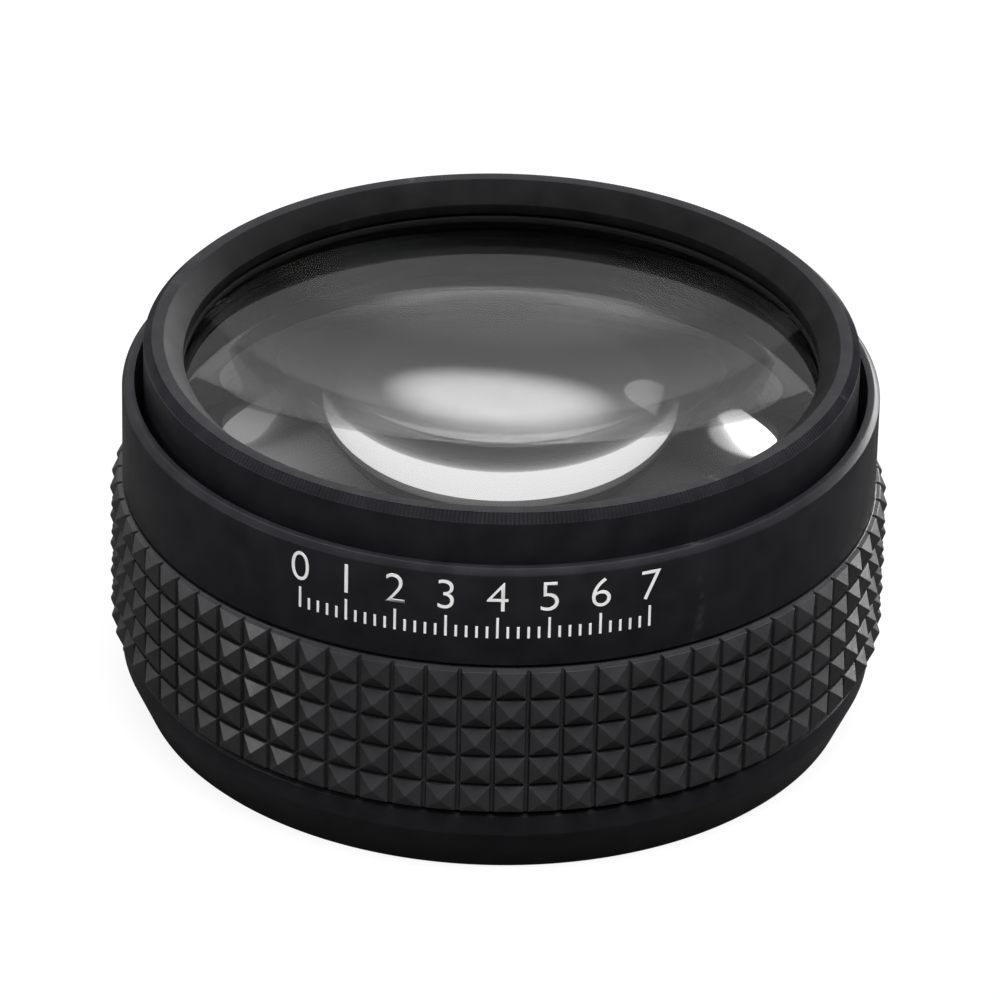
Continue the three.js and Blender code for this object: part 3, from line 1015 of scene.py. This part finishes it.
def make_floor():
    """A wide plain floor that the camera sees as white."""
    surface = Surface(
        "floor",
        Base_Color=(FLOOR_ALBEDO, FLOOR_ALBEDO, FLOOR_ALBEDO, 1.0),
        Roughness=0.9,
        Specular_IOR_Level=0.1,
        Emission_Color=(1.0, 1.0, 1.0, 1.0),
    )
    seen = surface.node("LightPath").outputs["Is Camera Ray"]
    glow = surface.node("Math", {0: seen, 1: FLOOR_GLOW}, operation="MULTIPLY").outputs[0]
    surface.set("Emission Strength", glow)
    half = FLOOR_SIZE / 2
    corners = [(-half, -half, 0), (half, -half, 0), (half, half, 0), (-half, half, 0)]
    mesh = bpy.data.meshes.new("floor")
    mesh.from_pydata(corners, [], [(0, 1, 2, 3)])
    mesh.materials.append(surface.material)
    floor = bpy.data.objects.new("floor", mesh)
    bpy.context.scene.collection.objects.link(floor)


def make_world():
    """White surroundings that darken towards the camera's side."""
    world = bpy.data.worlds.new("world")
    bpy.context.scene.world = world
    world.use_nodes = True
    tree = world.node_tree
    place = tree.nodes.new("ShaderNodeTexCoord").outputs["Generated"]
    split = tree.nodes.new("ShaderNodeSeparateXYZ")
    tree.links.new(place, split.inputs["Vector"])
    glow = tree.nodes.new("ShaderNodeMapRange")
    glow.interpolation_type = "SMOOTHSTEP"
    glow.inputs["From Min"].default_value = GLOW_START
    glow.inputs["From Max"].default_value = GLOW_END
    glow.inputs["To Min"].default_value = FRONT_GLOW
    glow.inputs["To Max"].default_value = BACK_GLOW
    tree.links.new(split.outputs["Y"], glow.inputs["Value"])
    tree.links.new(glow.outputs["Result"], tree.nodes["Background"].inputs["Strength"])
    tree.nodes["Background"].inputs["Color"].default_value = (1.0, 1.0, 1.0, 1.0)


def softbox(name, place, width, height, brightness, core, hidden_from=()):
    """An oval light, full strength out to core of its half width and fading to its rim.

    It can be hidden from "diffuse", "glossy" and "transmission" rays.
    """
    data = bpy.data.lights.new(name, "AREA")
    data.shape = "ELLIPSE"
    data.size = width
    data.size_y = height
    area = math.pi * width * height / 4
    data.energy = brightness * math.pi * area
    data.use_nodes = True
    tree = data.node_tree
    spot = tree.nodes.new("ShaderNodeNewGeometry").outputs["Parametric"]
    reach = tree.nodes.new("ShaderNodeVectorMath")
    reach.operation = "DISTANCE"
    tree.links.new(spot, reach.inputs[0])
    reach.inputs[1].default_value = (LIGHT_EDGE, LIGHT_EDGE, 0.0)
    fade = tree.nodes.new("ShaderNodeMapRange")
    fade.interpolation_type = "SMOOTHSTEP"
    fade.inputs["From Min"].default_value = core * LIGHT_EDGE
    fade.inputs["From Max"].default_value = LIGHT_EDGE
    fade.inputs["To Min"].default_value = 1.0
    fade.inputs["To Max"].default_value = 0.0
    tree.links.new(reach.outputs["Value"], fade.inputs["Value"])
    tree.links.new(fade.outputs["Result"], tree.nodes["Emission"].inputs["Strength"])
    lamp = bpy.data.objects.new(name, data)
    bpy.context.scene.collection.objects.link(lamp)
    lamp.location = place
    direction = LIGHT_TARGET - Vector(place)
    lamp.rotation_euler = direction.to_track_quat("-Z", "Y").to_euler()
    for kind in hidden_from:
        setattr(lamp, "visible_" + kind, False)


make_floor()
make_world()
# General light from above, which leaves no highlight.
softbox(
    "overhead",
    (0.2, -0.6, 1.55),
    width=1.6,
    height=1.2,
    brightness=17.0,
    core=0.6,
    hidden_from=("glossy", "transmission"),
)
# The wide panel that the lower dome mirrors as a pale oval.
softbox(
    "panel",
    (0.05, 0.35, 1.6),
    width=4.0,
    height=1.5,
    brightness=4.8,
    core=0.3,
    hidden_from=("diffuse",),
)
# The lamp that shows as the bright patch at the right of the glass.
softbox("left", (-1.1, 0.11, 0.5), width=0.4, height=0.7, brightness=1.5, core=0.85)
# Two low lamps that rake the grip's pyramids, from the front left and the back right.
softbox(
    "low_left",
    (-1.0, -0.38, 0.32),
    width=0.5,
    height=0.4,
    brightness=6.0,
    core=0.6,
    hidden_from=("transmission",),
)
softbox(
    "low_back",
    (0.65, 0.85, 0.1),
    width=1.3,
    height=0.35,
    brightness=16.0,
    core=0.6,
    hidden_from=("transmission",),
)

# The two lenses pass light on through many internal reflections.
GLASS_BOUNCES = 24

cycles = bpy.context.scene.cycles
cycles.max_bounces = GLASS_BOUNCES
cycles.transmission_bounces = GLASS_BOUNCES
cycles.glossy_bounces = GLASS_BOUNCES
bpy.context.scene.view_settings.view_transform = "Standard"
